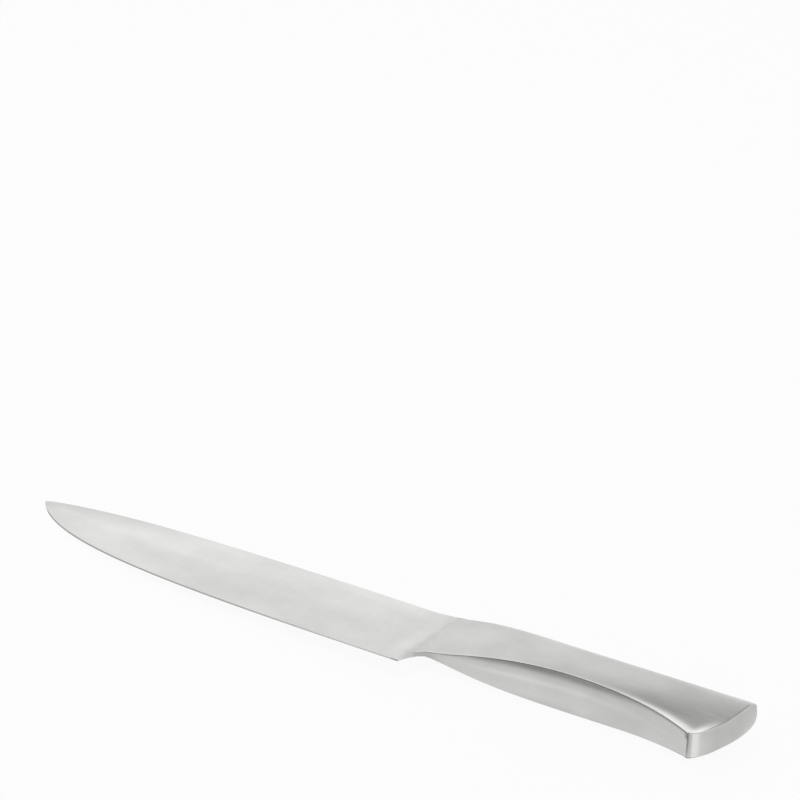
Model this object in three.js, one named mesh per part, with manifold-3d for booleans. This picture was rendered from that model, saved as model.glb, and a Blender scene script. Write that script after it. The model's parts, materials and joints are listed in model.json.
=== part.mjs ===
// All-steel kitchen knife: a ground blade with a stub tang, a hollow handle
// of two pressed half shells, a cup-shaped butt cap and a cast resin core.
// Millimetres. X runs from the tip to the butt, Y from the edge to the spine
// and Z through the thickness. Everything is drawn from the heel of the edge,
// on the middle plane, and the finished knife is set on its box at the end.

import * as THREE from 'three';
import { mergeVertices } from 'three/addons/utils/BufferGeometryUtils.js';
import Module from 'manifold-3d';

const wasm = await Module();
wasm.setup();

// Blade
const BLADE_LENGTH = 200; // heel to tip
const BLADE_HEIGHT = 36.7; // edge line to the spine, before it rises to the handle
const BLADE_THICKNESS = 2.2; // sheet it is cut from
const TIP_HEIGHT = 29.3; // tip above the edge line
const TIP_THICKNESS = 0.8;
const TIP_TAPER = 60; // stretch over which the sheet thins to the tip
const TIP_NOSE = 4; // height of blade below which it thins to a point
const SPINE_ARCH = 1.9; // how far the spine is drawn up behind the middle
const SPINE_ARCH_REACH = 69.5; // weld to that pull
const SPINE_DROP = 10.2; // pull above the tip that the spine falls from
const SPINE_DROP_REACH = 33;
const EDGE_STRAIGHT = 113; // heel to where the edge leaves its straight run
const EDGE_SWEEP = 2.6; // height of the pull that turns the edge up
const EDGE_SWEEP_REACH = 21.6;
const GRIND_HEIGHT = 22; // ground flank above the edge
const GRIND_SOFTNESS = 1.35; // 1 is a flat grind, more rounds its upper end
const EDGE_BEVEL_HEIGHT = 0.8; // sharpened bevel
const EDGE_BEVEL_THICKNESS = 0.4;
const SPINE_CHAMFER = 0.25;

// Bolster, where the blade is welded to the handle
const WELD_X = 3.5; // heel to weld
const CHOIL_LENGTH = 8.3; // finger notch behind the heel
const CHOIL_HEIGHT = 10.1;
const CHOIL_LEAN = 2.2; // pull that bends the notch over
const PLUNGE_LENGTH = 11; // run-out of the grind in front of the weld
const PLUNGE_HEIGHT = 7; // above this the heel keeps the full sheet

// Handle, outside
const SWELL_X = 68; // heel to the thickest place
const SWELL_THICKNESS = 17.1;
const SWELL_BELLY_Y = 14.05; // belly above the edge line at the swell
const BELLY_LEAD = 15.7;
const BELLY_LEAD_RISE = 0.4;
const BELLY_CREST = 22; // level run each side of the swell
const RIDGE_LEAD = 13; // run behind the weld before the handle swells
const RIDGE_CREST = 39.5; // level run in front of the swell
const RIDGE_FALL = 14; // level run behind the swell
const SPINE_RISE = 3.4; // handle spine above the blade's
const SPINE_RISE_AHEAD = 12.5; // start of the rise to the weld
const SPINE_RISE_LENGTH = 33;
const SPINE_RISE_BEND = 12; // softness of both its ends
const SHOULDER_LENGTH = 40; // weld to where the spine has its full round
const SHOULDER_LEAD = 11;
const SHOULDER_TRAIL = 20;
const SWELL_SHOULDER = 6.5; // half thickness where the spine's round starts
const SWELL_ROUND = 7; // height of that round
const SWELL_FALL = 0.17; // slope of the side face into the round
const SWELL_CREST_REACH = 8; // ridge to the crest of the side face
const SWELL_CREST_LIFT = 0.15; // crest above the ridge
const BUTT_SHOULDER = 5.8;
const BUTT_ROUND = 6;
const BUTT_FALL = 0.04;
const BUTT_CREST_REACH = 8;
const BUTT_CREST_LIFT = 0.4;
const SHOULDER_REACH = 8; // pull of the side face in front of the round
const BUTT_X = 116; // heel to the end of the belly
const BUTT_BELLY_Y = 6.9;
const BUTT_THICKNESS = 11.2;
const BUTT_FLARE = 5.6; // drop of the belly over its last stretch
const BUTT_FLARE_REACH = 14;
const BUTT_TAPER = 1.8; // loss of half thickness over its last stretch
const BUTT_TAPER_REACH = 14.5;
const BUTT_SLANT = THREE.MathUtils.degToRad(19.9);
const BUTT_BULGE = 3; // how far the end face bows out
const BELLY_CORNER_RADIUS = 2;
const SPINE_CORNER_RADIUS = 2.5;
const END_CROWN = 1.1; // how far the end face stands out on the middle plane
const END_CROWN_RISE = 24; // stretch over which that grows from the belly
const FLUTE_DEPTH = 2.2; // hollow of the belly between the two ridges
const FLUTE_TIGHTNESS = 3; // 2 is a round hollow, more undercuts the ridges
const FLUTE_CREASE = 0.12; // share of the hollow that is a sharp valley
const RIM_CURL = 2; // lip of the side face along the ridge at the butt
const RIM_WIDTH = 6.8;
const END_LIP = 1; // lip of the side face along the end face, near the belly
const END_LIP_WIDTH = 5;
const END_LIP_REACH = 18; // height above the belly where it has run out

// Construction
const SHELL_WALL = 1.2;
const CLEARANCE = 0.3; // resin to steel
const RESIN_WALL = 1; // thinnest resin beside the tang
const TANG_LENGTH = 44; // behind the weld
const TANG_HEIGHT = 13;
const TANG_THICKNESS = 1;
const TANG_END_RADIUS = 4;
const CAP_SETBACK = 1.5; // corner of the butt to the cap's weld
const CAP_WALL = 1.6;

// Fineness of the faceted surfaces
const BLADE_STEPS = 36;
const BLADE_CROWDING = 1.5; // above 1 the blade's steps crowd towards the tip
const FLANK_ROWS = 7;
const PLUNGE_STEPS = 9;
const SHELL_STEPS = 40;
const CORE_STEPS = 18;
const CAP_STEPS = 5;
const BELLY_ROWS = 8;
const SIDE_ROWS = 18;
const SPINE_ROWS = 9;
const CORE_SIDE_ROWS = 8;
const CORE_SPINE_ROWS = 5;
const CURVE_STEPS = 12;
const HALVINGS = 60; // rounds of the root finder
const WELD_TOLERANCE = 1e-4; // points closer than this are one point

const MARGIN = 5; // how far a cutting body reaches past what it cuts
const ROUND_PULL = 0.5523; // pull of a cubic that draws a quarter circle of radius 1

// Curves

const { lerp, clamp, smoothstep } = THREE.MathUtils;
const cubic = (...xy) => new THREE.CubicBezierCurve(
  new THREE.Vector2(xy[0], xy[1]), new THREE.Vector2(xy[2], xy[3]),
  new THREE.Vector2(xy[4], xy[5]), new THREE.Vector2(xy[6], xy[7]));

// A curve that leaves level, runs level into its end and swings in between.
function swing(x0, y0, x1, y1, lead, trail) {
  return cubic(x0, y0, x0 + lead, y0, x1 - trail, y1, x1, y1);
}

// Finds where a rising function is zero.
function solve(rising, low, high) {
  for (let step = 0; step < HALVINGS; step++) {
    const middle = (low + high) / 2;
    if (rising(middle) < 0) low = middle;
    else high = middle;
  }
  return (low + high) / 2;
}

// Height of a curve at one place along X, carried straight on past its ends.
function heightAt(curve, x) {
  const start = curve.getPoint(0);
  const end = curve.getPoint(1);
  const way = Math.sign(end.x - start.x);
  if ((x - start.x) * way <= 0) return start.y;
  if ((x - end.x) * way >= 0) {
    const run = curve.getTangent(1);
    return end.y + (x - end.x) * run.y / run.x;
  }
  return curve.getPoint(solve((t) => (curve.getPoint(t).x - x) * way, 0, 1)).y;
}

const TIP_X = -BLADE_LENGTH;
const spineCurve = cubic(
  WELD_X, BLADE_HEIGHT,
  WELD_X - SPINE_ARCH_REACH, BLADE_HEIGHT + SPINE_ARCH,
  TIP_X + SPINE_DROP_REACH, TIP_HEIGHT + SPINE_DROP,
  TIP_X, TIP_HEIGHT);
const edgeCurve = cubic(
  0, 0,
  -EDGE_STRAIGHT, 0,
  TIP_X + EDGE_SWEEP_REACH, EDGE_SWEEP,
  TIP_X, TIP_HEIGHT);
const choilCurve = new THREE.QuadraticBezierCurve(
  new THREE.Vector2(0, 0),
  new THREE.Vector2(CHOIL_LEAN, CHOIL_HEIGHT),
  new THREE.Vector2(CHOIL_LENGTH, CHOIL_HEIGHT));

const halfBlade = BLADE_THICKNESS / 2;
const halfSwell = SWELL_THICKNESS / 2;
const halfButt = BUTT_THICKNESS / 2;
const handleSpine = BLADE_HEIGHT + SPINE_RISE;
const bellyFront = cubic(
  CHOIL_LENGTH, CHOIL_HEIGHT,
  CHOIL_LENGTH + BELLY_LEAD, CHOIL_HEIGHT + BELLY_LEAD_RISE,
  SWELL_X - BELLY_CREST, SWELL_BELLY_Y,
  SWELL_X, SWELL_BELLY_Y);
const bellyRear = cubic(
  SWELL_X, SWELL_BELLY_Y,
  SWELL_X + BELLY_CREST, SWELL_BELLY_Y,
  BUTT_X - BUTT_FLARE_REACH, BUTT_BELLY_Y + BUTT_FLARE,
  BUTT_X, BUTT_BELLY_Y);
const ridgeFront = swing(WELD_X, halfBlade, SWELL_X, halfSwell, RIDGE_LEAD, RIDGE_CREST);
const ridgeRear = cubic(
  SWELL_X, halfSwell,
  SWELL_X + RIDGE_FALL, halfSwell,
  BUTT_X - BUTT_TAPER_REACH, halfButt + BUTT_TAPER,
  BUTT_X, halfButt);
const spineRiseX = WELD_X - SPINE_RISE_AHEAD;
const spineRise = swing(
  spineRiseX, BLADE_HEIGHT, spineRiseX + SPINE_RISE_LENGTH, handleSpine,
  SPINE_RISE_BEND, SPINE_RISE_BEND);
const shoulderRise = swing(
  WELD_X, halfBlade, WELD_X + SHOULDER_LENGTH, SWELL_SHOULDER,
  SHOULDER_LEAD, SHOULDER_TRAIL);
const roundRise = swing(
  WELD_X, SPINE_CHAMFER, WELD_X + SHOULDER_LENGTH, SWELL_ROUND,
  SHOULDER_LEAD, SHOULDER_TRAIL);

function bellyAt(x) {
  if (x < CHOIL_LENGTH) return heightAt(choilCurve, x);
  return heightAt(x < SWELL_X ? bellyFront : bellyRear, x);
}

function ridgeAt(x) {
  return heightAt(x < SWELL_X ? ridgeFront : ridgeRear, x);
}

// Handle sections

// How far a place lies from the weld to the swell, and from there to the butt.
const swellShare = (x) => smoothstep(x, WELD_X, SWELL_X);
const buttShare = (x) => smoothstep(x, SWELL_X, BUTT_X);

// Hollow of the belly: 0 is the valley on the middle plane, 1 is the ridge.
function hollowAt(share) {
  return lerp(1 - share ** FLUTE_TIGHTNESS, 1 - share, FLUTE_CREASE);
}

// One cross-section of the handle, drawn in from the outside by an inset.
function sectionAt(x, inset) {
  const belly = bellyAt(x);
  const ridge = ridgeAt(x);
  const spine = heightAt(spineRise, x);
  const shoulder = lerp(heightAt(shoulderRise, x), BUTT_SHOULDER, buttShare(x));
  const round = lerp(heightAt(roundRise, x), BUTT_ROUND, buttShare(x));
  const shrink = (shoulder - inset) / shoulder;
  const flute = FLUTE_DEPTH * swellShare(x) * (1 - buttShare(x));
  return {
    x,
    bellyY: (z) => belly + inset + flute * hollowAt(z / ridge),
    ridge: ridge - inset,
    spine: spine - inset,
    shoulder: shoulder - inset,
    round: round * shrink,
    crestReach: lerp(SWELL_CREST_REACH, BUTT_CREST_REACH, buttShare(x)),
    crestLift: lerp(SWELL_CREST_LIFT * swellShare(x), BUTT_CREST_LIFT, buttShare(x)),
    fall: lerp(SWELL_FALL * swellShare(x), BUTT_FALL, buttShare(x)),
    rim: buttShare(x) ** 2,
  };
}

// Belly: 0 is the valley on the middle plane, 1 is the ridge.
function bellyPoint(section, share) {
  const z = section.ridge * share;
  return { y: section.bellyY(z), z };
}

// Side face: 0 is the ridge, 1 is where the round of the spine starts.
function sidePoint(section, share) {
  const top = section.spine - section.round;
  const belly = section.bellyY(section.ridge);
  const curl = RIM_CURL * section.rim;
  const reach = RIM_WIDTH * section.rim;
  const side = cubic(
    belly, section.ridge - curl,
    belly + section.crestReach, section.ridge + section.crestLift,
    top - SHOULDER_REACH, section.shoulder + SHOULDER_REACH * section.fall,
    top, section.shoulder);
  const point = side.getPoint(share);
  const left = Math.max(belly + reach - point.x, 0);
  const lip = reach > 0 ? (left / reach) ** 2 : 0;
  const near = clamp(1 - (endX(point.x) - section.x) / END_LIP_WIDTH, 0, 1);
  const fade = 1 - smoothstep(point.x, belly + RIM_WIDTH, belly + END_LIP_REACH);
  const endLip = END_LIP * near ** 2 * fade * (1 - lip);
  return { y: point.x, z: point.y + curl * lip + endLip };
}

// Round of the spine: 0 is its start, 1 is the spine on the middle plane.
function spinePoint(section, share) {
  const top = section.spine - section.round;
  const pull = section.round * ROUND_PULL;
  const round = cubic(
    top, section.shoulder,
    top + pull, section.shoulder - pull * section.fall,
    section.spine, section.shoulder * ROUND_PULL,
    section.spine, 0);
  const point = round.getPoint(share);
  return { y: point.x, z: point.y };
}

// Half outline from the valley over the ridge to the spine, as functions of x.
function outline(inset, sideRows, spineRows) {
  const rows = [];
  for (let row = 0; row < BELLY_ROWS; row++) {
    rows.push((x) => bellyPoint(sectionAt(x, inset), row / BELLY_ROWS));
  }
  for (let row = 0; row < sideRows; row++) {
    rows.push((x) => sidePoint(sectionAt(x, inset), row / sideRows));
  }
  for (let row = 0; row <= spineRows; row++) {
    rows.push((x) => spinePoint(sectionAt(x, inset), row / spineRows));
  }
  return rows;
}

// Puts every point of an outline where it meets one station of the handle.
// A station gives an X for each height and thickness, so it can be slanted, bowed or crowned.
function ringAt(rows, station) {
  return rows.map((row) => {
    const offset = (place) => place - station(row(place).y, row(place).z);
    const x = solve(offset, 0, BUTT_X + handleSpine);
    const { y, z } = row(x);
    return new THREE.Vector3(x, y, z);
  });
}

// The end face on the middle plane: a slanted bow with a rounded corner at each end.
function cornerDrop(distance, radius) {
  const left = clamp(distance, 0, radius);
  return radius - Math.sqrt(left * (2 * radius - left));
}

function endX(y) {
  const up = clamp(y - BUTT_BELLY_Y, 0, handleSpine - BUTT_BELLY_Y);
  const down = handleSpine - BUTT_BELLY_Y - up;
  const bow = 4 * BUTT_BULGE * up * down / (handleSpine - BUTT_BELLY_Y) ** 2;
  return BUTT_X + BELLY_CORNER_RADIUS + up * Math.tan(BUTT_SLANT) + bow
    - cornerDrop(up, BELLY_CORNER_RADIUS) - cornerDrop(down, SPINE_CORNER_RADIUS);
}

// Above its belly corner the end face falls back towards both sides.
function crownedX(y, z) {
  const crown = END_CROWN * smoothstep(y, BUTT_BELLY_Y, BUTT_BELLY_Y + END_CROWN_RISE);
  return endX(y) - crown * (z / halfButt) ** 2;
}

// The cap is welded on along a flat slanted cut.
const capSlope = (endX(handleSpine) - endX(BUTT_BELLY_Y)) / (handleSpine - BUTT_BELLY_Y);
const capX = (y) => BUTT_X - CAP_SETBACK + (y - BUTT_BELLY_Y) * capSlope;

// Solids

// Joins loose triangles into one closed solid that faces outwards.
function solidFrom(points, index) {
  const loose = new THREE.BufferGeometry();
  const numbers = points.flatMap((p) => [p.x, p.y, p.z]);
  loose.setAttribute('position', new THREE.Float32BufferAttribute(numbers, 3));
  loose.setIndex(index);
  return solidFromGeometry(loose);
}

function solidFromGeometry(source) {
  const bare = source.clone();
  bare.deleteAttribute('normal');
  bare.deleteAttribute('uv');
  const merged = mergeVertices(bare, WELD_TOLERANCE);
  const corners = merged.index.array;
  const at = (k) => new THREE.Vector3().fromBufferAttribute(merged.attributes.position, k);
  const kept = [];
  let volume = 0;
  for (let k = 0; k < corners.length; k += 3) {
    const [a, b, c] = corners.subarray(k, k + 3);
    if (a === b || b === c || c === a) continue;
    kept.push(a, b, c);
    volume += at(a).dot(at(b).cross(at(c)));
  }
  if (volume < 0) kept.reverse();
  return new wasm.Manifold(new wasm.Mesh({
    numProp: 3,
    vertProperties: new Float32Array(merged.attributes.position.array),
    triVerts: new Uint32Array(kept),
  }));
}

function geometryOf(solid) {
  const mesh = solid.getMesh();
  const geometry = new THREE.BufferGeometry();
  geometry.setAttribute('position', new THREE.Float32BufferAttribute(mesh.vertProperties, 3));
  geometry.setIndex([...mesh.triVerts]);
  geometry.computeVertexNormals();
  return geometry;
}

// Skins closed rings one after another and closes both ends.
function loft(rings) {
  const count = rings[0].length;
  const index = [];
  for (let ring = 0; ring + 1 < rings.length; ring++) {
    for (let k = 0; k < count; k++) {
      const here = ring * count + k;
      const next = ring * count + (k + 1) % count;
      index.push(here, next, here + count, next, next + count, here + count);
    }
  }
  const seenAlongX = (ring) => ring.map((p) => new THREE.Vector2(p.y, p.z));
  const close = (ring, flip) => {
    for (const face of THREE.ShapeUtils.triangulateShape(seenAlongX(rings[ring]), [])) {
      const [a, b, c] = face.map((k) => ring * count + k);
      index.push(...(flip ? [a, c, b] : [a, b, c]));
    }
  };
  const middleRing = rings[Math.floor(rings.length / 2)];
  const turn = THREE.ShapeUtils.isClockWise(seenAlongX(middleRing));
  close(0, !turn);
  close(rings.length - 1, turn);
  return solidFrom(rings.flat(), index);
}

const mirrored = (points) => points.map((p) => new THREE.Vector3(p.x, p.y, -p.z));

// A half ring and its twin below the middle plane.
const wholeRing = (half) => [...half, ...mirrored(half.slice(1, -1)).reverse()];

// Turns a solid over the middle plane.
function flipped(solid) {
  const geometry = geometryOf(solid);
  geometry.scale(1, 1, -1);
  return solidFromGeometry(geometry);
}

// An upright prism of a plan outline.
function prism(shape, bottom, top) {
  const geometry = new THREE.ExtrudeGeometry(shape, {
    depth: top - bottom, bevelEnabled: false, curveSegments: CURVE_STEPS,
  });
  geometry.translate(0, 0, bottom);
  return solidFromGeometry(geometry);
}

const steps = (count, place) => Array.from({ length: count + 1 }, (_, k) => place(k / count));

// Blade

function stockAt(x) {
  return lerp(TIP_THICKNESS, BLADE_THICKNESS, smoothstep(x, TIP_X, TIP_X + TIP_TAPER)) / 2;
}

// Half outline of the blade from the edge up to the spine.
function bladeHalf(x) {
  const edge = heightAt(edgeCurve, x);
  const rise = heightAt(spineRise, x) - BLADE_HEIGHT;
  const height = heightAt(spineCurve, x) + rise - edge;
  const nose = Math.min(1, height / TIP_NOSE);
  const stock = stockAt(x) * nose;
  const scale = height / BLADE_HEIGHT;
  const bevel = EDGE_BEVEL_HEIGHT * Math.min(1, height / GRIND_HEIGHT);
  const grind = GRIND_HEIGHT * scale;
  const chamfer = SPINE_CHAMFER * Math.min(nose, stock / halfBlade);
  const runOut = smoothstep(x, WELD_X - PLUNGE_LENGTH, WELD_X);
  const flank = (share) => {
    const up = lerp(bevel, grind, share);
    const wedge = lerp(EDGE_BEVEL_THICKNESS * nose / 2, stock, 1 - (1 - share) ** GRIND_SOFTNESS);
    const kept = runOut * smoothstep(up, EDGE_BEVEL_HEIGHT, PLUNGE_HEIGHT);
    return new THREE.Vector3(x, edge + up, lerp(wedge, stock, kept));
  };
  return [
    new THREE.Vector3(x, edge, 0),
    ...steps(FLANK_ROWS, flank),
    new THREE.Vector3(x, edge + height - chamfer, stock),
    new THREE.Vector3(x, edge + height, stock - chamfer),
    new THREE.Vector3(x, edge + height, 0),
  ];
}

// The stub tang in plan, halfway between the flute and the spine, grown all round by a clearance.
function tangShape(grow) {
  const middle = (SWELL_BELLY_Y + FLUTE_DEPTH + handleSpine) / 2;
  const low = middle - TANG_HEIGHT / 2 - grow;
  const high = middle + TANG_HEIGHT / 2 + grow;
  const end = WELD_X + TANG_LENGTH + grow;
  const radius = TANG_END_RADIUS + grow;
  const shape = new THREE.Shape();
  shape.moveTo(WELD_X - MARGIN, low);
  shape.lineTo(end - radius, low);
  shape.absarc(end - radius, low + radius, radius, -Math.PI / 2, 0);
  shape.absarc(end - radius, high - radius, radius, 0, Math.PI / 2);
  shape.lineTo(WELD_X - MARGIN, high);
  return shape;
}

function makeBlade() {
  const plungeX = WELD_X - PLUNGE_LENGTH;
  const front = steps(BLADE_STEPS, (share) => lerp(TIP_X, plungeX, share ** BLADE_CROWDING));
  const rear = steps(PLUNGE_STEPS, (share) => lerp(plungeX, WELD_X, share));
  const body = loft([...front, ...rear.slice(1)].map((x) => wholeRing(bladeHalf(x))));
  const notch = new THREE.Shape(choilCurve.getPoints(CURVE_STEPS));
  notch.lineTo(CHOIL_LENGTH, -MARGIN);
  notch.lineTo(0, -MARGIN);
  const tang = prism(tangShape(0), -TANG_THICKNESS / 2, TANG_THICKNESS / 2);
  return body.subtract(prism(notch, -BLADE_THICKNESS, BLADE_THICKNESS)).add(tang);
}

// Handle

// First place behind the weld where the walls leave room for resin beside the tang.
const roomAt = (x) => Math.min(ridgeAt(x), heightAt(shoulderRise, x)) - SHELL_WALL;
const coreRoom = TANG_THICKNESS / 2 + 2 * CLEARANCE + RESIN_WALL;
const coreX = solve((x) => roomAt(x) - coreRoom, WELD_X, SWELL_X);

// Rings of the inside of the handle between two stations.
function coreRings(inset, firstX, lastX) {
  const rows = outline(inset, CORE_SIDE_ROWS, CORE_SPINE_ROWS);
  return steps(CORE_STEPS, (share) => ringAt(rows, (y) => lerp(firstX, lastX(y), share)));
}

function makeLeftShell() {
  const rows = outline(0, SIDE_ROWS, SPINE_ROWS);
  const rings = steps(SHELL_STEPS, (share) => ringAt(rows, (y) => lerp(WELD_X, capX(y), share)));
  const hollow = coreRings(SHELL_WALL, coreX, (y) => capX(y) + MARGIN);
  const pocket = prism(tangShape(CLEARANCE), -MARGIN, TANG_THICKNESS / 2);
  return loft(rings).subtract(loft(hollow.map(wholeRing))).subtract(pocket);
}

function makeCore() {
  const inset = SHELL_WALL + CLEARANCE;
  const rings = coreRings(inset, coreX + CLEARANCE, (y) => capX(y) - CLEARANCE);
  const slotReach = TANG_THICKNESS / 2 + CLEARANCE;
  const slot = prism(tangShape(CLEARANCE), -slotReach, slotReach);
  return loft(rings.map(wholeRing)).subtract(slot);
}

// Skins a grid of points, both ways open.
function gridFaces(index, rows, columns, at) {
  for (let row = 0; row + 1 < rows; row++) {
    for (let column = 0; column + 1 < columns; column++) {
      const [a, b] = [at(row, column), at(row, column + 1)];
      const [c, d] = [at(row + 1, column), at(row + 1, column + 1)];
      index.push(a, b, c, b, d, c);
    }
  }
}

function makeCap() {
  const rows = outline(0, SIDE_ROWS, SPINE_ROWS);
  const skin = (share) => (y, z) => lerp(capX(y), crownedX(y, z), share);
  const rings = steps(CAP_STEPS, (share) => ringAt(rows, skin(share)));
  const around = rings.map(wholeRing);
  const count = around[0].length;
  const points = around.flat();
  const index = [];
  const wrap = (row, column) => row * count + column % count;
  gridFaces(index, around.length, count + 1, wrap);
  const flat = around[0].map((p) => new THREE.Vector2(p.y, p.z));
  for (const [a, b, c] of THREE.ShapeUtils.triangulateShape(flat, [])) index.push(a, b, c);
  // The end face: rows between its upper and lower edge that follow the crown.
  const edge = rings[rings.length - 1].slice(BELLY_ROWS);
  const wall = points.length;
  const levels = 2 * BELLY_ROWS + 1;
  for (const p of edge) {
    for (let level = 0; level < levels; level++) {
      const z = p.z * (level / BELLY_ROWS - 1);
      points.push(new THREE.Vector3(crownedX(p.y, z), p.y, z));
    }
  }
  gridFaces(index, edge.length, levels, (row, column) => wall + row * levels + column);
  const hollow = outline(CAP_WALL, CORE_SIDE_ROWS, CORE_SPINE_ROWS);
  const depth = (share) => (y) => lerp(capX(y) - MARGIN, endX(y) - END_CROWN - CAP_WALL, share);
  const pocket = loft(steps(CAP_STEPS, (share) => wholeRing(ringAt(hollow, depth(share)))));
  return solidFrom(points, index).subtract(pocket);
}

// Assembly

const leftShell = makeLeftShell();
const pieces = [
  ['blade', makeBlade(), { color: 0xd2d2cf, roughness: 0.34, metalness: 1 }],
  ['handle_left_shell', leftShell, { color: 0xc6c6c3, roughness: 0.38, metalness: 1 }],
  ['handle_right_shell', flipped(leftShell), { color: 0xc6c6c3, roughness: 0.38, metalness: 1 }],
  ['butt_cap', makeCap(), { color: 0xc4c4c1, roughness: 0.38, metalness: 1 }],
  ['handle_filler', makeCore(), { color: 0x8b8474, roughness: 0.8, metalness: 0 }],
];

const knife = new THREE.Group();
for (const [name, solid, finish] of pieces) {
  const mesh = new THREE.Mesh(geometryOf(solid), new THREE.MeshStandardMaterial(finish));
  mesh.name = name;
  knife.add(mesh);
}

// The knife lies on its side, over the middle of its box.
const box = new THREE.Box3().setFromObject(knife);
const middle = box.getCenter(new THREE.Vector3());
knife.position.set(-middle.x, -middle.y, -box.min.z);

export default knife;
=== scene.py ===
# %% [markdown]
# This lesson dresses a kitchen knife made all of steel. The solids come from a frame that already has the
# right sizes: a blade with a stub tang, two pressed half shells, a butt cap and a resin core. Nothing
# here moves or resizes them. What is left to do is the finish: rounded ridges that catch the light, satin
# steel with the direction of its grinding, a honed edge, and a soft studio to see them in.

# %% Load the frame
import json
import math

import bpy
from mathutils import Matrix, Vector
from mathutils.kdtree import KDTree

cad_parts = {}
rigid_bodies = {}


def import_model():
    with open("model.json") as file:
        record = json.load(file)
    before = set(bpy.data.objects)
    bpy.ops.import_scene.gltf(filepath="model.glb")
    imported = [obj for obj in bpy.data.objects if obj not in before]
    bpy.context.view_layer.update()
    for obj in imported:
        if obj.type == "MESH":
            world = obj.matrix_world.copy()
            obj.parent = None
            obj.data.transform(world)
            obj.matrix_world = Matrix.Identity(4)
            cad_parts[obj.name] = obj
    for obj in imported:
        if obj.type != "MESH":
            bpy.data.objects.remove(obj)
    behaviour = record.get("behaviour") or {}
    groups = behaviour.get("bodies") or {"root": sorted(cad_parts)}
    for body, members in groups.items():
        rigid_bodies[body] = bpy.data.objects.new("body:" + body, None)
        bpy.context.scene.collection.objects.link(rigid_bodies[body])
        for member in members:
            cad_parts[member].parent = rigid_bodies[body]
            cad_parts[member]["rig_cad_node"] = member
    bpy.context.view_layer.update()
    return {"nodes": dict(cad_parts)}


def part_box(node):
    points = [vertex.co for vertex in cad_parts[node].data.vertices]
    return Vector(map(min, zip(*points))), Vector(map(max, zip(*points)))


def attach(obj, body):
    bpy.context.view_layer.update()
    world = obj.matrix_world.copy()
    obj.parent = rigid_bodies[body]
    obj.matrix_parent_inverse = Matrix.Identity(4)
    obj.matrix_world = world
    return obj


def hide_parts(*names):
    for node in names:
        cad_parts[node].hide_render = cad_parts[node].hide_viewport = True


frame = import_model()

MM = 0.001

# %% [markdown]
# Every place on the knife is easiest to name from the heel, the rear corner of the cutting edge, on the
# middle plane of the blade. The frame gives the blade's box, so the heel follows from it: the edge is its
# lowest side, the tip is its far end, and the heel lies one blade length behind the tip.

# %% Find the heel
BLADE_LENGTH = 200 * MM
blade_low, blade_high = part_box("blade")
heel = Vector((blade_low.x + BLADE_LENGTH, blade_low.y, (blade_low.z + blade_high.z) / 2))
print("heel of the edge:", [round(value / MM, 2) for value in heel], "mm")

# %% [markdown]
# The camera stands on the edge's side, behind the butt, and looks down on the knife with a long lens. A
# long lens flattens the perspective, as product pictures do. Its place is given from the heel, so that it
# keeps the same view of the knife wherever the frame puts its origin.

# %% Place the camera
CAMERA_FROM_HEEL = Vector((319.86, -522.06, 395.01)) * MM
CAMERA_TURN = math.radians(31.393)
CAMERA_DIP = math.radians(25)
CAMERA_LENS = 85.5
CAMERA_SENSOR = 36
bpy.ops.object.camera_add(
    location=heel + CAMERA_FROM_HEEL,
    rotation=(math.pi / 2 - CAMERA_DIP, 0, CAMERA_TURN),
)
camera = bpy.context.active_object
camera.data.lens = CAMERA_LENS
camera.data.sensor_width = CAMERA_SENSOR
bpy.context.scene.camera = camera
print("camera stands", round(CAMERA_FROM_HEEL.length, 3), "m from the heel")

# %% [markdown]
# The solids have the true form, but their faces are loose triangles with hard borders. A finished piece
# starts as a copy of its solid. Merging the copy's doubles joins the triangles into one skin, and turning
# triangle pairs back into quads gives clean rows for the shading. Modelling the same form again from a
# primitive would only add errors, so the copy is the better start. The first piece is the blade, one
# sheet that is ground thin towards the edge. Its form is complete, so its copy stays as it is.

# %% Copy the blade
MERGE_DISTANCE = 0.001 * MM
QUAD_ANGLE = math.radians(40)
ANY_SHAPE = math.pi


def piece_from(node, name):
    bpy.ops.object.select_all(action="DESELECT")
    solid = frame["nodes"][node]
    solid.select_set(True)
    bpy.context.view_layer.objects.active = solid
    bpy.ops.object.duplicate()
    piece = bpy.context.active_object
    piece.name = name
    piece.parent = None
    del piece["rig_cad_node"]
    bpy.ops.object.mode_set(mode="EDIT")
    bpy.ops.mesh.select_all(action="SELECT")
    bpy.ops.mesh.remove_doubles(threshold=MERGE_DISTANCE)
    bpy.ops.mesh.tris_convert_to_quads(face_threshold=QUAD_ANGLE, shape_threshold=ANY_SHAPE)
    bpy.ops.mesh.select_all(action="DESELECT")
    bpy.ops.object.mode_set(mode="OBJECT")
    print(name, "starts with", len(piece.data.polygons), "faces")
    return piece


blade = piece_from("blade", "blade_steel")

# %% [markdown]
# No edge of a polished handle is perfectly sharp. A narrow round along each ridge is what draws the
# bright line there. The edges to round could be picked by hand, but their angle finds them too: they are
# sharp and stand out from the piece. A band along the middle plane can be left out, for the shells, which
# meet there.

# %% Find the standing edges
SHARP = math.radians(18)


def standing_edges(mesh, seam_band):
    beside = {}
    for face in mesh.polygons:
        for key in face.edge_keys:
            beside.setdefault(key, []).append(face)
    for edge in mesh.edges:
        one, other = beside[edge.key]
        sharp = one.normal.angle(other.normal) > SHARP
        outward = (other.center - one.center).dot(one.normal) < 0
        ends = [mesh.vertices[index].co for index in edge.vertices]
        off_seam = all(abs(end.z - heel.z) >= seam_band for end in ends)
        if sharp and outward and off_seam:
            yield edge, ends, one.normal, other.normal


crisp_edges = list(standing_edges(blade.data, 0))
print("the blade has", len(crisp_edges), "standing edges, which stay crisp")

# %% [markdown]
# The Bevel modifier makes the rounds. It reads a weight from each edge, so a round can grow along a
# ridge, which one width for all edges couldn't give. The slivers that a bevel leaves at its ends are
# dissolved.

# %% Prepare the rounding
ROUND_STEPS = 6


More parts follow.
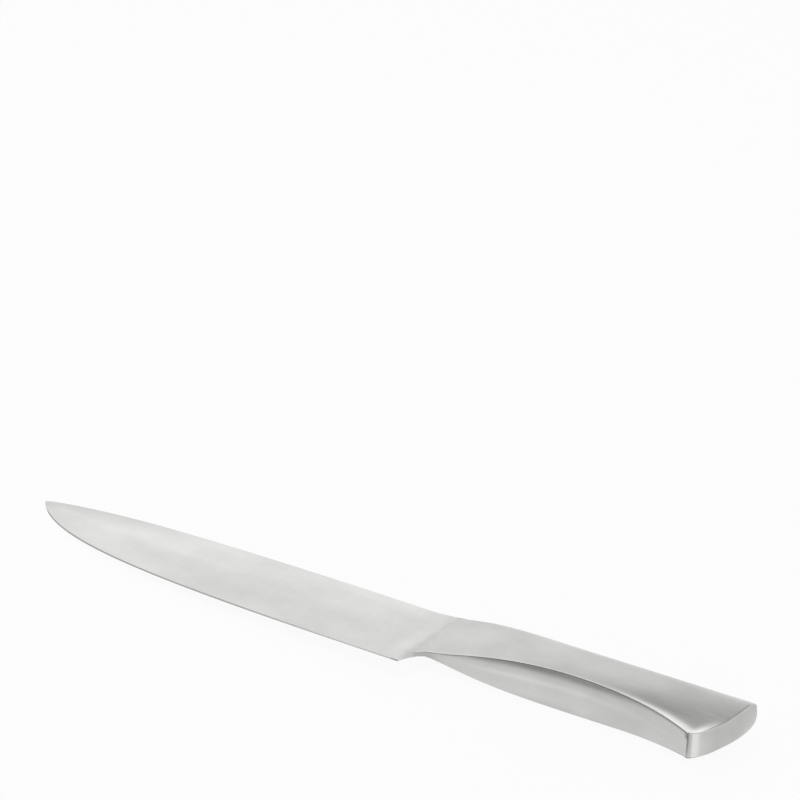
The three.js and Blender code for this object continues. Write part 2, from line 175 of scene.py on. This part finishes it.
def round_edges(piece, width, weigh, seam_band=0):
    mesh = piece.data
    weights = mesh.attributes.new("bevel_weight_edge", "FLOAT", "EDGE")
    rounded = []
    for edge, ends, one, other in standing_edges(mesh, seam_band):
        weight = weigh(ends, one, other)
        if weight > 0:
            weights.data[edge.index].value = weight
            rounded += [end.copy() for end in ends]
    bevel = piece.modifiers.new("ridge round", "BEVEL")
    bevel.width = width
    bevel.segments = ROUND_STEPS
    bevel.limit_method = "WEIGHT"
    bevel.use_clamp_overlap = False
    bpy.context.view_layer.objects.active = piece
    bpy.ops.object.modifier_apply(modifier=bevel.name)
    bpy.ops.object.mode_set(mode="EDIT")
    bpy.ops.mesh.select_all(action="SELECT")
    bpy.ops.mesh.dissolve_degenerate(threshold=MERGE_DISTANCE)
    bpy.ops.mesh.select_all(action="DESELECT")
    bpy.ops.object.mode_set(mode="OBJECT")
    print(piece.name, "has", len(rounded) // 2, "rounded edges")
    return rounded


print("each round has", ROUND_STEPS, "steps")

# %% [markdown]
# The handle is two pressed shells, welded along the middle plane and ground flush. A ridge runs along the
# belly of each, crisp where the handle leaves the blade and softer at the butt. The edges at their welds
# stay sharp. The right shell is the mirror image of the left one, so both take the same steps.

# %% Round the shells
SEAM_BAND = 0.8 * MM
RIDGE_ROUND = 0.8 * MM
RIDGE_LEAST = 0.35
RIDGE_SOFT_FROM = 45 * MM
RIDGE_SOFT_TO = 115 * MM
WELD_FACING = 0.6


def along_handle(x):
    share = (x - heel.x - RIDGE_SOFT_FROM) / (RIDGE_SOFT_TO - RIDGE_SOFT_FROM)
    return min(1, max(0, share))


def ridge_softness(x):
    return RIDGE_LEAST + (1 - RIDGE_LEAST) * along_handle(x)


def ridge_weight(ends, one, other):
    on_weld = max(abs(one.x), abs(other.x)) > WELD_FACING
    return 0 if on_weld else ridge_softness((ends[0].x + ends[1].x) / 2)


left_shell = piece_from("handle_left_shell", "left_shell_steel")
right_shell = piece_from("handle_right_shell", "right_shell_steel")
ridges = []
for shell in (left_shell, right_shell):
    ridges += round_edges(shell, RIDGE_ROUND, ridge_weight, SEAM_BAND)

# %% [markdown]
# The butt cap closes the handle with a slanted, bowed end. It is one piece, so its corner is rounded
# right across the middle plane. Only the edges of its weld stay sharp. A face there looks back at the
# shells, so its normal tells it apart.

# %% Round the cap
CAP_ROUND = 0.6 * MM


def rim_weight(ends, one, other):
    on_weld = min(one.x, other.x) < -WELD_FACING
    return 0 if on_weld else 1


cap = piece_from("butt_cap", "butt_cap_steel")
rims = round_edges(cap, CAP_ROUND, rim_weight)
handle_pieces = (left_shell, right_shell, cap)

# %% [markdown]
# The welds are ground flush, so the light has to run over them without a line. Smooth shading alone stops
# at the border of a mesh. Here every corner of a face takes the mean normal of all faces that meet at its
# place, on its own piece or the next one, as long as they bend less than a set angle. Large faces count
# more than slivers, so the narrow rounds don't tilt the broad sides beside them.

# %% Shade the pieces as one
SAME_PLACE = 0.004 * MM
WELD_ANGLE = math.radians(30)
SMOOTH_BELOW = {
    blade: math.radians(8),
    left_shell: math.radians(32),
    right_shell: math.radians(32),
    cap: math.radians(44),
}


def tree_of(places):
    tree = KDTree(len(places))
    for number, place in enumerate(places):
        tree.insert(place, number)
    tree.balance()
    return tree


def blend_normals(limits):
    corners = []
    for piece in limits:
        mesh = piece.data
        for face in mesh.polygons:
            corners += [(piece, mesh.vertices[index].co, face.normal, face.area) for index in face.vertices]
    tree = tree_of([corner[1] for corner in corners])
    for piece, limit in limits.items():
        blended = []
        for owner, place, normal, _ in corners:
            if owner is not piece:
                continue
            total = Vector()
            for near in tree.find_range(place, SAME_PLACE):
                other, _, other_normal, other_area = corners[near[1]]
                bend = limit if other is piece else WELD_ANGLE
                if normal.dot(other_normal) > math.cos(bend):
                    total += other_normal * other_area
            blended.append(total)
        piece.data.shade_smooth()
        piece.data.normals_split_custom_set(blended)
        print(piece.name, "has", len(blended), "blended corners")


blend_normals(SMOOTH_BELOW)

# %% [markdown]
# Wear and the painted highlight and shade follow the form, so they are measured on the mesh: from the
# distance to the nearest ridge, and from the way a face looks. Painting them by hand would do as well, but
# a measure stays right when a size changes. An attribute on the mesh keeps each mark for the material. A
# measure is given the face, the place and the normal of one corner. Two curves shape it: a ramp that rises
# softly between two values, and a bell that fades with distance.

# %% Prepare the marks
MARKED = 0.5


def ramp(value, low, high):
    share = min(1, max(0, (value - low) / (high - low)))
    return share * share * (3 - 2 * share)


def band(value, rise, fall):
    return ramp(value, *rise) * (1 - ramp(value, *fall))


def bell(distance, reach):
    return math.exp(-((distance / reach) ** 2))


def mark(piece, name, measure):
    mesh = piece.data
    values = mesh.attributes.new(name, "FLOAT", "CORNER").data
    normals = mesh.corner_normals
    for face in mesh.polygons:
        for corner, index in zip(face.loop_indices, face.vertices):
            values[corner].value = measure(face, mesh.vertices[index].co, normals[corner].vector)
    strong = sum(value.value > MARKED for value in values)
    print(piece.name, "has a strong", name, "mark at", strong, "corners")


print("a quarter of the way up, a ramp is at", ramp(0.25, 0, 1))

# %% [markdown]
# Brighter steel is painted where the handle stands out: along the ridges, more towards the butt, on the
# seam between the shells, on the round of the spine, and on the end beside its corner and along its rim.
# It stands partly for polish from hands and cloths and partly for painted highlight. A pair of numbers
# says where a mark starts and where it is full. In a pair named FACING, they are parts of the normal: 1
# is a face that looks straight that way, and 0 one that looks across it.

# %% Mark the rubbed steel and the painted highlight
RUB_HIGHLIGHT_REACH = 3 * MM
RUB_HIGHLIGHT_LEAST = 0.2
SIDE_FACING = (0.7, 0.95)
SEAM_RUB_HIGHLIGHT = 0.3
SEAM_REACH = 1 * MM
SEAM_START = (15 * MM, 40 * MM)
FLANK_FACING = (0.45, 0.8)
SPINE_RUB_HIGHLIGHT = 0.28
SPINE_FACING = (0.2, 0.6)
CORNER_RUB_HIGHLIGHT = 0.6
BULGE_FACING = (0.33, 0.5)
BELLY_FACING = (0.45, 0.7)
RIM_RUB_HIGHLIGHT = 0.5
RIM_FACING = ((0.08, 0.22), (0.45, 0.65))
RIM_SIDE_FACING = (0.4, 0.6)

butt_corner = min((vertex.co for vertex in cap.data.vertices), key=lambda place: place.y)
belly_rims = [
    place for place in rims
    if place.y < butt_corner.y + RUB_HIGHLIGHT_REACH and abs(place.z - heel.z) > RUB_HIGHLIGHT_REACH
]
ridge_tree = tree_of(ridges + belly_rims)


# Painted highlight, partly polish: brighter steel along the ridges, the seam, the spine, the end's corner
# and rim.
def rub_highlight_at(face, place, normal):
    outward = normal.z * math.copysign(1, place.z - heel.z)
    far = along_handle(place.x)
    marking = RUB_HIGHLIGHT_LEAST + far**2
    ridge = marking * bell(ridge_tree.find(place)[2], RUB_HIGHLIGHT_REACH * marking) * ramp(outward, *SIDE_FACING)
    front = (1 - far) * ramp(place.x - heel.x, *SEAM_START)
    seam = front * bell(place.z - heel.z, SEAM_REACH) * (1 - ramp(outward, *FLANK_FACING))
    spine = ramp(normal.y, *SPINE_FACING)
    corner = ramp(normal.x, *BULGE_FACING) * ramp(-normal.y, *BELLY_FACING)
    rim = band(normal.x, *RIM_FACING) * ramp(outward, *RIM_SIDE_FACING)
    return min(1, ridge + SEAM_RUB_HIGHLIGHT * seam + SPINE_RUB_HIGHLIGHT * spine + CORNER_RUB_HIGHLIGHT * corner + RIM_RUB_HIGHLIGHT * rim)


for piece in handle_pieces:
    mark(piece, "rub_highlight", rub_highlight_at)

# %% [markdown]
# Painted shade darkens the steel where it mirrors shade: in a thin line right under the upper ridge, in
# the corner of the butt, thinly on the end, more towards its top, and in the finger notch at the heel. A
# separate dark material would end in a hard line, so the painted shade is a mark as well, and it fades
# out. The line's width follows the round of the ridge.

# %% Mark the painted shade on the handle
LINE_START = 1.1
LINE_END = 2
LINE_END_FACING = (0.1, 0.3)
CORNER_TURN_FACING = ((-0.36, -0.1), (0.2, 0.36))
CORNER_FACING = (0.7, 0.9)
CORNER_START = (-1.2 * MM, -0.4 * MM)
CORNER_FADE = (-7 * MM, 1 * MM)
END_PAINTED_SHADE = 0.3
END_FACING = (0.75, 0.9)
END_FADE = (-12 * MM, 5 * MM)
NOTCH_PAINTED_SHADE = 0.6
NOTCH_FACING = (0.5, 0.8)
NOTCH_END = (4 * MM, 16 * MM)


def under_ridge(place, normal):
    width = RIDGE_ROUND * ridge_softness(place.x)
    close = 1 - ramp(ridge_tree.find(place)[2], LINE_START * width, LINE_END * width)
    on_flank = (1 - ramp(normal.z, *FLANK_FACING)) * (1 - ramp(normal.x, *LINE_END_FACING))
    return close * on_flank if place.z > heel.z else 0


def in_corner(place, normal):
    turn = band(normal.x, *CORNER_TURN_FACING) * ramp(place.x - butt_corner.x, *CORNER_START)
    return turn * ramp(-normal.y, *CORNER_FACING) * ramp(place.z - heel.z, *CORNER_FADE)


def on_end(place, normal):
    return END_PAINTED_SHADE * ramp(normal.x, *END_FACING) * ramp(place.z - heel.z, *END_FADE)


def in_notch(place, normal):
    return NOTCH_PAINTED_SHADE * ramp(-normal.y, *NOTCH_FACING) * (1 - ramp(place.x - heel.x, *NOTCH_END))


# Painted shade: dark steel under the ridge, in the butt's corner, on the end and in the notch.
def painted_shade_at(face, place, normal):
    return max(measure(place, normal) for measure in (under_ridge, in_corner, on_end, in_notch))


for piece in handle_pieces:
    mark(piece, "painted_shade", painted_shade_at)

# %% [markdown]
# The blade is ground on a wheel from the flat down to the edge, and the wheel leaves a slightly duller
# surface than the rolled sheet. The ground flank is where the side leans towards the edge, and its
# normals tell how much. The honed edge leans more than the flank above it. A thin line of painted shade
# darkens its very end. The spine gets painted shade towards the tip, and the notch gets it on the blade
# too.

# %% Mark the blade
GRIND_LEAN = 0.05
EDGE_LEAN = 0.15
STEEP_LEAN = 0.5
EDGE_SHADE_REACH = 0.3 * MM
SPINE_UP = 0.6
SPINE_REACH = 5 * MM
SPINE_PAINTED_SHADE = 0.3
TIP_STRETCH = (90 * MM, 170 * MM)

spine_tree = tree_of([face.center.copy() for face in blade.data.polygons if face.normal.y > SPINE_UP])


def is_honed(face):
    return int(-STEEP_LEAN < face.normal.y < -EDGE_LEAN and face.center.x < heel.x)


def ground_at(face, place, normal):
    return min(1, max(0, -normal.y / GRIND_LEAN))


# Painted shade: a dark line at the honed edge's end, along the spine towards the tip, and in the notch.
def blade_painted_shade_at(face, place, normal):
    edge_shade = bell(place.z - heel.z, EDGE_SHADE_REACH) * is_honed(face)
    spine_shade = bell(spine_tree.find(place)[2], SPINE_REACH) * ramp(heel.x - place.x, *TIP_STRETCH)
    return max(edge_shade, SPINE_PAINTED_SHADE * spine_shade, in_notch(place, normal))


mark(blade, "ground", ground_at)
mark(blade, "painted_shade", blade_painted_shade_at)

# %% [markdown]
# Materials are made of nodes, and a few short helpers keep their recipes readable. Each adds one node. An
# input is either a plain value or the output of another node, which is then linked. A colour mix has its
# two colours on the sockets numbered 6 and 7.

# %% Prepare the nodes
def add(tree, kind, inputs=None, **settings):
    node = tree.nodes.new("ShaderNode" + kind)
    for name, value in settings.items():
        setattr(node, name, value)
    for name, value in (inputs or {}).items():
        if isinstance(value, bpy.types.NodeSocket):
            tree.links.new(value, node.inputs[name])
        else:
            node.inputs[name].default_value = value
    return node


def work_out(tree, operation, *values):
    return add(tree, "Math", dict(enumerate(values)), operation=operation).outputs["Value"]


def rescale(tree, value, low, high, to=(0, 1), curve="LINEAR"):
    ends = {"From Min": low, "From Max": high, "To Min": to[0], "To Max": to[1]}
    return add(tree, "MapRange", {"Value": value, **ends}, interpolation_type=curve).outputs["Result"]


def mix(tree, share, one, other, blend="MIX"):
    colours = {"Factor": share, 6: one, 7: other}
    return add(tree, "Mix", colours, data_type="RGBA", blend_type=blend).outputs["Result"]


print("the scene has", len(bpy.data.node_groups), "node groups so far")

# %% [markdown]
# Satin steel is not one grey. A belt leaves fine strokes in one direction, and handling leaves soft
# clouds. Both are noise textures on the object's own coordinates: the strokes are noise squeezed along
# one axis. More than one finish uses them, so they are a node group, and each material places it with its
# own stroke lengths.

# %% Build the brushed grain
def new_group(name, inputs, outputs):
    group = bpy.data.node_groups.new(name, "ShaderNodeTree")
    for socket, kind in inputs.items():
        group.interface.new_socket(socket, in_out="INPUT", socket_type="NodeSocket" + kind)
    for socket, kind in outputs.items():
        group.interface.new_socket(socket, in_out="OUTPUT", socket_type="NodeSocket" + kind)
    return group, group.nodes.new("NodeGroupInput").outputs, group.nodes.new("NodeGroupOutput").inputs


def make_brushed_grain():
    group, given, result = new_group(
        "brushed grain",
        {"Place": "Vector", "Strokes per metre": "Vector", "Clouds per metre": "Vector"},
        {"Strokes": "Float", "Clouds": "Float"},
    )
    for name, detail in (("Strokes", {"Detail": 3}), ("Clouds", {"Detail": 4, "Roughness": 0.6})):
        scaled = {0: given["Place"], 1: given[name + " per metre"]}
        place = add(group, "VectorMath", scaled, operation="MULTIPLY").outputs["Vector"]
        noise = add(group, "TexNoise", {"Vector": place, "Scale": 1, **detail})
        group.links.new(noise.outputs["Fac"], result[name])
    return group


brushed_grain = make_brushed_grain()
print("brushed grain has", len(brushed_grain.nodes), "nodes")

# %% [markdown]
# Blade and handle are welded and then ground as one, so the finish has to run on from one piece to the
# other. Two masks along the knife do that: one is 0 on the blade and grows to 1 on the handle, the other
# is a soft bell on the weld, where the steel is tinted a shade darker. A weld is never quite straight, so
# the clouds push both masks to and fro and make the dark streak blotchy. All steels read them from this
# group.

# %% Build the weld masks
WELD_PLACE = 5 * MM
WELD_REACH = 4 * MM
BLEND_REACH = 7 * MM
WELD_WANDER = 25 * MM


def make_weld_masks():
    group, given, result = new_group(
        "weld masks",
        {"Place": "Vector", "Mottle": "Float"},
        {"Handle": "Float", "Weld_streak": "Float"},
    )
    weld_x = heel.x + WELD_PLACE
    straight = add(group, "SeparateXYZ", {"Vector": given["Place"]}).outputs["X"]
    wander = work_out(group, "MULTIPLY_ADD", given["Mottle"], WELD_WANDER, -WELD_WANDER / 2)
    along = work_out(group, "ADD", straight, wander)
    handle = rescale(group, along, weld_x - BLEND_REACH, weld_x + BLEND_REACH, curve="SMOOTHSTEP")
    away = work_out(group, "ABSOLUTE", work_out(group, "SUBTRACT", along, weld_x))
    streak = rescale(group, away, WELD_REACH, 0, curve="SMOOTHSTEP")
    group.links.new(handle, result["Handle"])
    group.links.new(work_out(group, "MULTIPLY", streak, given["Mottle"]), result["Weld_streak"])
    return group


weld_masks = make_weld_masks()
print("weld masks have", len(weld_masks.nodes), "nodes")

# %% [markdown]
# Metal has no colour besides its reflection, so its greys are how much light it gives back. The clouds,
# with a little of the strokes, choose between two close greys. Tints then darken the ground flank, the
# handle and a streak on the weld. The marks lay bright steel over that, partly polish and partly painted
# highlight, and a dark grey of painted shade. All three steels share this group, and a mark that a piece
# doesn't have stays at 0.

# %% Build the steel tone
DULL_GREY = (0.72, 0.72, 0.71, 1)
BRIGHT_GREY = (0.85, 0.85, 0.84, 1)
GROUND_TINT = (0.92, 0.92, 0.92, 1)
HANDLE_TINT = (0.77, 0.77, 0.77, 1)
# A darker tint for the blotchy streak on the weld.
WELD_STREAK_TINT = (0.82, 0.82, 0.81, 1)
# Painted highlight, partly polish: the bright grey laid where the rub mark is strong.
RUBBED_HIGHLIGHT_GREY = (0.93, 0.93, 0.92, 1)
# Painted shade: the dark grey laid where the painted shade mark is strong.
PAINTED_SHADE_GREY = (0.30, 0.30, 0.295, 1)
STROKE_TONE = 0.25
NOISE_LOW = 0.3
NOISE_HIGH = 0.7


def make_steel_tone():
    masks = ("Strokes", "Clouds", "Ground", "Handle", "Weld_streak", "Rub_highlight", "Painted_shade")
    group, given, result = new_group("steel tone", {name: "Float" for name in masks}, {"Colour": "Color"})
    streaky = work_out(group, "MULTIPLY_ADD", given["Strokes"], STROKE_TONE, given["Clouds"])
    lift = STROKE_TONE / 2
    cloudy = rescale(group, streaky, NOISE_LOW + lift, NOISE_HIGH + lift)
    tone = mix(group, cloudy, DULL_GREY, BRIGHT_GREY)
    for name, tint in (("Ground", GROUND_TINT), ("Handle", HANDLE_TINT), ("Weld_streak", WELD_STREAK_TINT)):
        tone = mix(group, given[name], tone, tint, "MULTIPLY")
    for name, grey in (("Rub_highlight", RUBBED_HIGHLIGHT_GREY), ("Painted_shade", PAINTED_SHADE_GREY)):
        tone = mix(group, given[name], tone, grey)
    group.links.new(tone, result["Colour"])
    return group


steel_tone = make_steel_tone()
print("steel tone has", len(steel_tone.nodes), "nodes")

# %% [markdown]
# A steel places the three groups and adds its own finish. The strokes spread its roughness a little and
# are cut into the surface with a very small bump. On the blade they run from spine to edge, as a wheel
# leaves them. On the handle they run along it. The honed edge is smoother and finer than both.

# %% Mix the steels
CUT_DEPTH = 0.02 * MM
SATIN_ROUGHNESS = (0.29, 0.37)
HONED_ROUGHNESS = (0.16, 0.24)
BLADE_MARKS = ("ground", "painted_shade")
HANDLE_MARKS = ("rub_highlight", "painted_shade")


def new_material(name):
    material = bpy.data.materials.new(name)
    material.use_nodes = True
    return material, material.node_tree


def make_steel(name, strokes, clouds, cut, roughness, marks):
    steel, tree = new_material(name)
    place = add(tree, "TexCoord").outputs["Object"]
    sizes = {"Strokes per metre": strokes, "Clouds per metre": clouds}
    grain = add(tree, "Group", {"Place": place, **sizes}, node_tree=brushed_grain).outputs
    weld = add(tree, "Group", {"Place": place, "Mottle": grain["Clouds"]}, node_tree=weld_masks).outputs
    masks = {socket.name: socket for socket in (*grain, *weld)}
    for marking in marks:
        masks[marking.capitalize()] = add(tree, "Attribute", attribute_name=marking).outputs["Fac"]
    tone = add(tree, "Group", masks, node_tree=steel_tone).outputs["Colour"]
    spread = rescale(tree, grain["Strokes"], NOISE_LOW, NOISE_HIGH, roughness)
    bump = add(tree, "Bump", {"Strength": cut, "Distance": CUT_DEPTH, "Height": grain["Strokes"]})
    shader = tree.nodes["Principled BSDF"]
    shader.inputs["Metallic"].default_value = 1
    tree.links.new(tone, shader.inputs["Base Color"])
    tree.links.new(spread, shader.inputs["Roughness"])
    tree.links.new(bump.outputs["Normal"], shader.inputs["Normal"])
    print(name, "is mixed with", len(tree.nodes), "nodes")
    return steel


blade_satin = make_steel(
    "blade satin", strokes=(800, 60, 60), clouds=(22, 45, 45), cut=0.2,
    roughness=SATIN_ROUGHNESS, marks=BLADE_MARKS,
)
handle_satin = make_steel(
    "handle satin", strokes=(60, 800, 800), clouds=(40, 55, 55), cut=0.3,
    roughness=SATIN_ROUGHNESS, marks=HANDLE_MARKS,
)
honed_steel = make_steel(
    "honed edge", strokes=(2500, 200, 200), clouds=(60, 60, 60), cut=0.05,
    roughness=HONED_ROUGHNESS, marks=BLADE_MARKS,
)

# %% [markdown]
# Now the steels go on. The honed edge is the only polished place on the blade, because a stone takes the
# satin off there, so its faces get a material of their own. The shells and the cap are one steel all
# over.

# %% Dress the steel
def dress(piece, materials, choose):
    piece.data.materials.clear()
    for material in materials:
        piece.data.materials.append(material)
    for face in piece.data.polygons:
        face.material_index = choose(face)


dress(blade, [blade_satin, honed_steel], is_honed)
for piece in handle_pieces:
    dress(piece, [handle_satin], lambda face: 0)
print(sum(face.material_index for face in blade.data.polygons), "faces are honed")

# %% [markdown]
# The core is poured resin. It can't be seen once the handle is welded, so its solid stays as it is and
# only gets a dull, slightly mottled finish.

# %% Dress the core
RESIN_DARK = (0.29, 0.26, 0.21, 1)
RESIN_PALE = (0.36, 0.33, 0.28, 1)
RESIN_ROUGHNESS = 0.75
MOTTLES_PER_METRE = 300


def make_resin():
    resin, tree = new_material("cast resin")
    place = add(tree, "TexCoord").outputs["Object"]
    mottle = add(tree, "TexNoise", {"Vector": place, "Scale": MOTTLES_PER_METRE}).outputs["Fac"]
    shader = tree.nodes["Principled BSDF"]
    shader.inputs["Roughness"].default_value = RESIN_ROUGHNESS
    tree.links.new(mix(tree, mottle, RESIN_DARK, RESIN_PALE), shader.inputs["Base Color"])
    return resin


core = frame["nodes"]["handle_filler"]
core.material_slots[0].material = make_resin()
print("the core is dressed in", core.material_slots[0].material.name)

# %% [markdown]
# Each finished piece rides on the knife's one body and stands for its solid, which is hidden.

# %% Hand the pieces to the frame
for piece, node, finish in (
    (blade, "blade", "blade_steel"),
    (left_shell, "handle_left_shell", "handle_steel"),
    (right_shell, "handle_right_shell", "handle_steel"),
    (cap, "butt_cap", "handle_steel"),
):
    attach(piece, "root")
    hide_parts(node)
    print(piece.name, "stands for", node)

# %% [markdown]
# The floor is a pale sheet with a sheen over a dark table. For what the camera sees it is mostly plain
# white, with a share of real shading left in, so the shadow stays. The steel sees it white at a low angle
# and darker from straight above, which is what makes the hollow under each ridge dark. Layer Weight tells
# the two apart: its Facing is 0 from straight above and grows towards 1 along the floor.

# %% Paint the floor
FLOOR_GREY = (0.9, 0.9, 0.9, 1)
CAMERA_WHITE = 0.92
MIRROR_WHITE = 0.9
STEEP_GREY = 0.32
STEEP_FACING = 0.1
LOW_FACING = 0.28


def make_floor_paint():
    paint, tree = new_material("floor paint")
    tree.nodes.remove(tree.nodes["Principled BSDF"])
    path = add(tree, "LightPath").outputs
    facing = add(tree, "LayerWeight").outputs["Facing"]
    sheen = rescale(tree, facing, STEEP_FACING, LOW_FACING, (STEEP_GREY, 1), "SMOOTHSTEP")
    white = work_out(tree, "MAXIMUM", sheen, path["Is Camera Ray"])
    seen = work_out(tree, "MULTIPLY", path["Is Camera Ray"], CAMERA_WHITE)
    mirrored = work_out(tree, "MAXIMUM", path["Is Glossy Ray"], path["Is Transmission Ray"])
    share = work_out(tree, "MULTIPLY_ADD", mirrored, MIRROR_WHITE, seen)
    matt = add(tree, "BsdfDiffuse", {"Color": FLOOR_GREY}).outputs["BSDF"]
    glow = add(tree, "Emission", {"Strength": white}).outputs["Emission"]
    coat = add(tree, "MixShader", {"Fac": share, 1: matt, 2: glow}).outputs["Shader"]
    tree.links.new(coat, tree.nodes["Material Output"].inputs["Surface"])
    return paint


floor_paint = make_floor_paint()
print("floor paint has", len(floor_paint.node_tree.nodes), "nodes")

# %% [markdown]
# The knife lies on its side, on the swell of its handle and on the blade near the tip, so the floor leans
# a little against the blade's plane. Where it touches depends on the lean, and the lean on where it
# touches. A few rounds settle both: each takes the places of the blade and of the shell that lie lowest
# above the floor of the round before.

# %% Lay the floor
FLOOR_SIZE = 8
LEAN_ROUNDS = 6


def lie_down(front, back):
    slope = 0
    for _ in range(LEAN_ROUNDS):
        ahead, behind = (
            min((vertex.co for vertex in piece.data.vertices), key=lambda place: place.z - slope * place.x)
            for piece in (front, back)
        )
        slope = (behind.z - ahead.z) / (behind.x - ahead.x)
    print("it touches the floor", round((behind.x - ahead.x) / MM, 1), "mm apart")
    return behind, -math.atan(slope)


swell, floor_lean = lie_down(blade, right_shell)
bpy.ops.mesh.primitive_plane_add(size=FLOOR_SIZE, location=swell, rotation=(0, floor_lean, 0))
floor = bpy.context.active_object
floor.name = "floor"
floor.data.materials.append(floor_paint)
print("the floor leans", round(math.degrees(floor_lean), 2), "degrees")

# %% [markdown]
# Steel is a mirror that has lost its sharpness, so the studio is modelled as what it reflects: pale walls
# all round, with three soft shades on them. Lamps alone would leave most of the steel black. A dark panel
# high up behind the spine shades the rear of the handle and makes its form readable. The dim room on the
# camera's side does the same for the views from behind, and a doorway beyond the tip for those from the
# butt. Each shade surrounds a direction, full inside one angle and gone outside another.

# %% Build the studio
WALL_GREY = (1, 1, 1, 1)
PANEL = {"way": (0.18, 0.50, 0.85), "gone": 42, "full": 23, "grey": (0.38, 0.38, 0.38, 1)}
ROOM = {"way": (0.10, -0.64, 0.77), "gone": 40, "full": 12, "grey": (0.5, 0.5, 0.5, 1)}
DOORWAY = {"way": (-0.96, -0.18, 0.22), "gone": 38, "full": 14, "grey": (0.45, 0.45, 0.45, 1)}


def add_shade(tree, place, walls, shade):
    ways = {0: place, 1: Vector(shade["way"]).normalized()}
    toward = add(tree, "VectorMath", ways, operation="DOT_PRODUCT").outputs["Value"]
    gone, full = (math.cos(math.radians(shade[end])) for end in ("gone", "full"))
    return mix(tree, rescale(tree, toward, gone, full, curve="SMOOTHSTEP"), walls, shade["grey"])


def make_studio():
    world = bpy.data.worlds.new("studio")
    bpy.context.scene.world = world
    world.use_nodes = True
    tree = world.node_tree
    place = add(tree, "TexCoord").outputs["Generated"]
    walls = WALL_GREY
    for shade in (PANEL, ROOM, DOORWAY):
        walls = add_shade(tree, place, walls, shade)
    seen = mix(tree, add(tree, "LightPath").outputs["Is Camera Ray"], walls, WALL_GREY)
    tree.links.new(seen, tree.nodes["Background"].inputs["Color"])
    print("the studio has", len(tree.nodes), "nodes")


make_studio()

# %% [markdown]
# A soft lamp hangs high up beyond the tip and adds a little light from one side, so that the ridges and
# the shadow read. It is wide and weak, so that the blade doesn't burn out where it mirrors the lamp, as
# it does seen from above.

# %% Hang the lamp
LAMP_PLACE = Vector((-0.42, 0.10, 1.30))
LAMP_SIDE = 0.8
LAMP_WATTS = 2
lamp_turn = LAMP_PLACE.to_track_quat("Z", "Y").to_euler()
bpy.ops.object.light_add(type="AREA", location=LAMP_PLACE, rotation=lamp_turn)
lamp = bpy.context.active_object
lamp.name = "overhead lamp"
lamp.data.size = LAMP_SIDE
lamp.data.energy = LAMP_WATTS
bpy.context.scene.view_settings.view_transform = "Standard"
print("the lamp gives", lamp.data.energy, "W")
